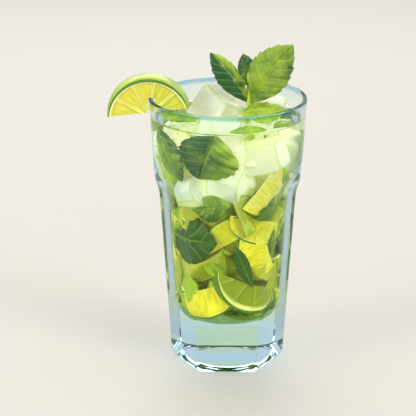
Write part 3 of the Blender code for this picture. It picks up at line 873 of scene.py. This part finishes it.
# How far out the pith lies, as shares of the radius, and the shares at which the finish paints it. The
# finish turns flesh into pith over the first pair of shares, and pith into skin over the second.
NARROW_PITH = ((0, 0.865, 0.88, 1), (0, 0.85, 0.885, 1))
WIDE_PITH = ((0, 0.82, 0.93, 1), (0, 0.862, 0.885, 1))
WEDGE_PITH = ((0, 0.89, 0.95, 1), (0, 0.862, 0.885, 1))
CHUNK_PITH = ((-1, 0.55, 0.72, 1), (0.1, 0.862, 0.885, 1))
PITH_SHARES = (0.855, 0.875)
SKIN_SHARES = (0.885, 0.9)
# Painted shade: on a wheel's cut face the rind's dark green edge is widest at the top and narrows towards the
# cut's ends, as the shadow on the rind's rounded edge. This number sets how much it narrows.
RIND_SHADE_THINS_AT_ENDS = 0.06
SUNK_WHEEL = (25 * MM, 8 * MM, 7 * MM)
SUNK_WHEEL_STEPS = 30
SUNK_WHEEL_TURNS = (("Y", -157), ("Z", 20))
SUNK_WHEEL_MIDDLE = (12.5, -19.5, 52.5)
SUNK_WHEEL_RIPENESS = 0.05
SUNK_WEDGES = [
    # (length, belly, opening), (turn about its core, roll in view, yaw), middle, ripeness
    ((31, 20, 60), (125, 35, 5), (23, -17, 106), 0.85),
    ((32, 15, 70), (125, -72, -10), (-15, -14.5, 88), 0.4),
    ((38, 18, 75), (125, 74, -5), (-12, -16.5, 42), 1.0),
    ((28, 14, 70), (165, -20, 0), (7.5, -19, 95), 0.15),
    ((36, 14, 70), (125, 105, 15), (16, -16, 84), 0.8),
    ((30, 14, 80), (-125, 60, 0), (0, -18.5, 83), 0.6),
    ((30, 15, 70), (-125, -30, 10), (15, -16, 70), 1.0),
    ((30, 13, 80), (160, 60, -15), (-13, -18, 63), 0.3),
    ((30, 13, 75), (140, 40, 25), (25, -13, 50), 0.3),
]
WEDGE_GRID = (36, 12)
LIME_CHUNKS = [
    # radius, side that the peel is on, middle, ripeness
    (9.0, (0.6, 0.3, 0.7), (13, -12, 97), 0.3),
    (9.0, (-0.8, 0.5, -0.2), (-3, -12, 92), 0.4),
    (8.5, (0.8, 0.3, -0.5), (23, -8, 86), 0.3),
    (9.0, (0.3, 0.5, -0.8), (8, -10, 72), 0.5),
    (9.0, (-0.5, 0.6, 0.6), (-4, -12, 70), 0.3),
    (8.0, (-0.9, 0.2, 0.3), (-24, -6, 84), 0.3),
    (9.0, (-0.3, 0.3, 0.9), (-15, -12, 62), 0.3),
    (9.0, (0.7, 0.1, -0.7), (20, -8, 46), 0.3),
    (8.5, (0.2, 0.4, -0.9), (6, -12, 40), 0.4),
    (8.5, (0.4, 0.5, 0.7), (17.5, -16, 59), 0.5),
]
CHUNK_FACETS = 9
CHUNK_SHARPNESS = 30
CHUNK_GRID = (18, 32)
CHUNK_FROM_MIDDLE = (0.6, 0.9)
CHUNK_SEED = 5
FLESH_DEEP = (0.76, 0.68, 0.035)
FLESH_LIGHT = (0.95, 0.88, 0.11)
FLESH_OLIVE = (0.21, 0.32, 0.018)
SACS_LONG = 6
SACS_SCALE = 2.5
SACS_SHARES = (0.36, 0.66)
MEMBRANE_EDGE = (0.05, 0.01)
MEMBRANE_SHOWS = 0.18
PITH = (0.90, 0.91, 0.62)
# The skin's dark green edge; on a wheel's cut face its width is partly painted shade
SKIN_EDGE = (0.09, 0.22, 0.015)
SKIN_DARK = (0.20, 0.36, 0.02)
SKIN_LIGHT = (0.50, 0.64, 0.03)
SKIN_CLOUDS = (90, 2)
SKIN_CLOUD_SHARES = (0.3, 0.6)
OIL_PITS = 900


def lime_wheel(radius, cut, thickness, steps, pith):
    """Half a wheel: fans of points from the middle of its flat cut, whose flesh sinks between membranes,
    joined over a quarter-round edge by the rind. Also returns which faces are rind, and for each point the
    segment it lies in and its distance from the core as a share of the radius, spread to the pith's width and
    narrowed towards the cut's ends, where the rind's painted shade thins.
    """
    angle = np.linspace(0, math.pi, 2 * steps + 1)[None, :]
    reach = np.sqrt(radius**2 - (cut * np.cos(angle)) ** 2) - cut * np.sin(angle)
    share = np.linspace(0, FLAT_SHARE, steps)[:, None]
    quarter = np.linspace(0, math.pi / 2, 7)[:, None]
    across, up = share * reach * np.cos(angle), share * reach * np.sin(angle)
    away = np.hypot(across, up + cut)
    part = np.arctan2(up + cut, across) / math.tau * LIME_SEGMENTS % 1.0
    from_membrane = np.minimum(part, 1 - part) * math.tau / LIME_SEGMENTS * away
    inside = np.minimum(from_membrane, radius - LIME_RIND - away)
    depth = LIME_RELIEF * smooth_step(inside / LIME_RELIEF_SLOPE) - thickness / 2
    out = (FLAT_SHARE + (1 - FLAT_SHARE) * np.sin(quarter)) * reach
    bevel = LIME_BEVEL * (1 - np.cos(quarter)) - thickness / 2
    face = np.stack([across, depth, up], axis=-1)
    edge = np.stack(np.broadcast_arrays(out * np.cos(angle), bevel, out * np.sin(angle)), axis=-1)
    front = np.concatenate([face, edge[1:]])
    rows = np.concatenate([front, front[::-1] * np.array([1, -1, 1])])
    count, width = rows.shape[:2]
    quads = grid_quads(count, width, False)
    row = np.arange(len(quads)) // (width - 1)
    k = np.arange(count // 2 - 1)[:, None]
    cut_row = np.concatenate([k, k + 1, count - 2 - k, count - 1 - k], axis=1)
    cuts = np.concatenate([cut_row * width, cut_row[:, ::-1] * width + width - 1])
    is_rind = np.append((row >= steps) & (row < count - 1 - steps), np.zeros(len(cuts), bool))
    # The first and the last row are each one point, so their quads become triangles
    corners = np.clip(np.concatenate([quads, cuts]) - (width - 1), 0, (count - 2) * width + 1)
    faces = [list(dict.fromkeys(face)) for face in corners.tolist()]
    points = rows.reshape(-1, 3)[width - 1 : (count - 1) * width + 1]
    turn = np.arctan2(points[:, 2] + cut, points[:, 0])
    skin_share = np.interp(np.hypot(points[:, 2] + cut, points[:, 0]) / radius, *pith)
    # Painted shade: the dark rind edge narrows towards the ends of the cut
    skin_share -= RIND_SHADE_THINS_AT_ENDS * (1 - np.sin(turn))
    return points, faces, is_rind, np.stack([turn / math.tau * LIME_SEGMENTS, skin_share], axis=1)


def lime_wedge(length, belly, opening):
    """A wedge cut lengthwise: at each height a closed path out along one cut face, round the rind and back
    along the other. The rind's distance from the core is a cosine of the height, raised to a power.
    """
    rows, steps = WEDGE_GRID
    height = np.linspace(-math.pi / 2, math.pi / 2, rows + 2)[1:-1, None]
    out = np.linspace(0, 1, steps + 1)
    share = np.concatenate([out, np.ones(steps - 1), out[::-1][:-1]])
    swing = np.linspace(-0.5, 0.5, steps + 1) * opening
    turn = np.concatenate([np.full(steps, swing[0]), swing, np.full(steps, swing[-1])[:-1]])
    reach = belly * np.cos(height) ** 0.75 * share
    points, faces = closed_skin(round_the_axis(turn - math.pi / 2, reach, length / 2 * np.sin(height)))
    around = len(share)
    column = np.arange(len(faces) - 2 * around) % around
    is_rind = np.append((column >= steps) & (column < 2 * steps), np.zeros(2 * around, bool))
    skin_share = np.interp(share, *WEDGE_PITH)
    place = np.stack(np.broadcast_arrays(0.5 + 0.8 * np.sin(height), skin_share), axis=-1).reshape(-1, 2)
    return points + np.array([0, belly / 2, 0]), faces, is_rind, np.concatenate([place, [[0, 1], [1, 1]]])


def lime_chunk(radius, peel_side, draw):
    """Crushed lime between random planes, with the core on one side, the pith and skin on the other."""
    points, faces, _ = broken_body(
        draw, CHUNK_FACETS, CHUNK_FROM_MIDDLE, radius, CHUNK_SHARPNESS, CHUNK_GRID, radius
    )
    outwards = np.array(peel_side) / np.linalg.norm(peel_side)
    across = np.cross(outwards, [0, 1, 0])
    away = np.interp(points @ outwards / radius, *CHUNK_PITH)
    places = np.stack([0.5 + 0.4 * points @ across / radius, away], axis=1)
    return points, faces, np.zeros(len(faces), bool), places


def ripening_group():
    """A colour between unripe and ripe, by the ripeness that a piece holds at each point."""
    group, given, result = new_group("ripening", {"Unripe": "Color", "Ripe": "Color"}, {"Colour": "Color"})
    ripeness = wire(group, "Attribute", attribute_name="ripeness").outputs["Fac"]
    fill(result, {"Colour": blend(group, ripeness, given["Unripe"], given["Ripe"])})
    return group


ripening = ripening_group()


def ripened(tree, unripe, ripe):
    """The ripening group's colour in a material."""
    return wire(tree, "Group", {"Unripe": unripe, "Ripe": ripe}, node_tree=ripening).outputs["Colour"]


def flesh_finish():
    """Lime flesh from its segment and distance places: streaks of juice sacs that run out from the core,
    pale membranes between segments, then a thin pale pith and the skin's dark green edge, which on a wheel
    is partly painted shade, widest at its top.
    """
    finish = new_finish("lime_flesh", {"Roughness": 0.28, "Coat Weight": 0.2})
    tree = finish.node_tree
    place = wire(tree, "SeparateXYZ", {0: wire(tree, "UVMap", uv_map="cut_place").outputs["UV"]}).outputs
    segment, away = place["X"], place["Y"]
    from_membrane = work_out(tree, "MULTIPLY", work_out(tree, "PINGPONG", segment, 0.5), away)
    membrane = work_out(tree, "MULTIPLY", ramp(tree, from_membrane, *MEMBRANE_EDGE), MEMBRANE_SHOWS)
    outwards = wire(tree, "CombineXYZ", {0: work_out(tree, "MULTIPLY", segment, SACS_LONG), 1: away})
    streaks = {"Vector": outwards.outputs["Vector"], "Scale": SACS_SCALE, "Detail": 2}
    sacs = wire(tree, "TexNoise", streaks).outputs["Fac"]
    juice = blend(tree, ramp(tree, sacs, *SACS_SHARES), FLESH_DEEP, FLESH_LIGHT)
    pale = work_out(tree, "MAXIMUM", membrane, ramp(tree, away, *PITH_SHARES))
    inner = blend(tree, pale, ripened(tree, FLESH_OLIVE, juice), PITH)
    colour = blend(tree, ramp(tree, away, *SKIN_SHARES), inner, SKIN_EDGE)
    relief = wire(tree, "Bump", {"Height": sacs, "Distance": 0.8 * MM, "Strength": 0.5})
    fill(shader_of(finish), {"Base Color": colour, "Normal": relief.outputs["Normal"]})
    return finish


def rind_finish():
    """Lime skin: bright green with darker clouds and small oil pits."""
    finish = new_finish("lime_rind", {"Roughness": 0.35, "Coat Weight": 0.15})
    tree = finish.node_tree
    dark_to_light = ramp(tree, clouds(tree, *SKIN_CLOUDS), *SKIN_CLOUD_SHARES)
    skin = ripened(tree, SKIN_EDGE, blend(tree, dark_to_light, SKIN_DARK, SKIN_LIGHT))
    spot = wire(tree, "TexCoord").outputs["Object"]
    pits = wire(tree, "TexVoronoi", {"Vector": spot, "Scale": OIL_PITS}).outputs["Distance"]
    relief = wire(tree, "Bump", {"Height": pits, "Distance": 0.3 * MM, "Strength": 0.5})
    fill(shader_of(finish), {"Base Color": skin, "Normal": relief.outputs["Normal"]})
    return finish


lime_flesh = flesh_finish()
lime_rind = rind_finish()


def add_lime(name, points, faces, is_rind, places):
    """A lime piece whose rind faces take the rind's finish. UV holds its segment and distance places."""
    piece = add_piece(name, points, faces, lime_flesh, "lime", sharp_angle=50)
    piece.data.materials.append(lime_rind)
    piece.data.polygons.foreach_set("material_index", is_rind.astype(np.int32))
    write_uv(piece, "cut_place", places)
    return piece


def cut_notch(piece):
    """Cuts the slot that clears the glass's wall: a box from below the flat cut to a gap above the lip."""
    top = GLASS_HEIGHT + NOTCH_GAP
    bottom = top - LIME_NOTCH_DEPTH - LIME_RADIUS * math.sin(math.radians(LIME_TURN))
    sides = (-RIM_RADIUS - NOTCH_GAP, 2 * NOTCH_GAP - inside_radius(bottom))
    ends = (-NOTCH_HALF_LENGTH, NOTCH_HALF_LENGTH)
    corners = [(x, y, z) for x in sides for y in ends for z in (bottom, top)]
    faces = [(0, 1, 3, 2), (4, 6, 7, 5), (0, 4, 5, 1), (2, 3, 7, 6), (0, 2, 6, 4), (1, 5, 7, 3)]
    mesh = bpy.data.meshes.new("lime_notch_cutter")
    mesh.from_pydata(corners, [], faces)
    cutter = place_object("lime_notch_cutter", mesh)
    cut = piece.modifiers.new("notch", "BOOLEAN")
    cut.operation = "DIFFERENCE"
    cut.solver = "EXACT"
    cut.object = cutter
    with_notch = bpy.data.meshes.new_from_object(piece.evaluated_get(bpy.context.evaluated_depsgraph_get()))
    piece.modifiers.clear()
    piece.data = with_notch
    bpy.data.objects.remove(cutter)


seat = np.array([-(RIM_RADIUS - RIM_WALL / 2 + LIME_OUTSIDE), 0, GLASS_HEIGHT + NOTCH_GAP - LIME_NOTCH_DEPTH])
wheel_points, *wheel_others = lime_wheel(LIME_RADIUS, LIME_CUT, LIME_THICKNESS, LIME_STEPS, NARROW_PITH)
wheel_points = turned(wheel_points, ("Y", -LIME_TURN), ("X", LIME_LEAN)) + seat
rim_lime = add_lime("lime_half_wheel", wheel_points, *wheel_others)
cut_notch(rim_lime)
write_attribute(rim_lime, "ripeness", "FLOAT", np.full(len(rim_lime.data.vertices), RIM_RIPENESS))
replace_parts(rim_lime, "lime_slice")


def crushed_lime():
    """The half wheel, wedges and chunks that are crushed into the drink, each with its ripeness."""
    points, *others = lime_wheel(*SUNK_WHEEL, SUNK_WHEEL_STEPS, WIDE_PITH)
    points = turned(points, *SUNK_WHEEL_TURNS) + np.array(SUNK_WHEEL_MIDDLE) * MM
    yield points, *others, np.full(len(points), SUNK_WHEEL_RIPENESS)
    for (length, belly, opening), (turn, roll, yaw), middle, ripeness in SUNK_WEDGES:
        points, *others = lime_wedge(length * MM, belly * MM, math.radians(opening))
        points = turned(points, ("Z", turn), ("Y", roll), ("Z", yaw)) + np.array(middle) * MM
        yield points, *others, np.full(len(points), ripeness)
    draw = np.random.default_rng(CHUNK_SEED)
    for radius, peel_side, middle, ripeness in LIME_CHUNKS:
        points, *others = lime_chunk(radius * MM, peel_side, draw)
        yield points + np.array(middle) * MM, *others, np.full(len(points), ripeness)


lime_skins = list(round_the_glass(list(crushed_lime())))
is_rind, places, ripeness = (np.concatenate([skin[k] for skin in lime_skins]) for k in (2, 3, 4))
sunk_lime = add_lime("sunk_lime", *join_skins([skin[:2] for skin in lime_skins]), is_rind, places)
write_attribute(sunk_lime, "ripeness", "FLOAT", ripeness)
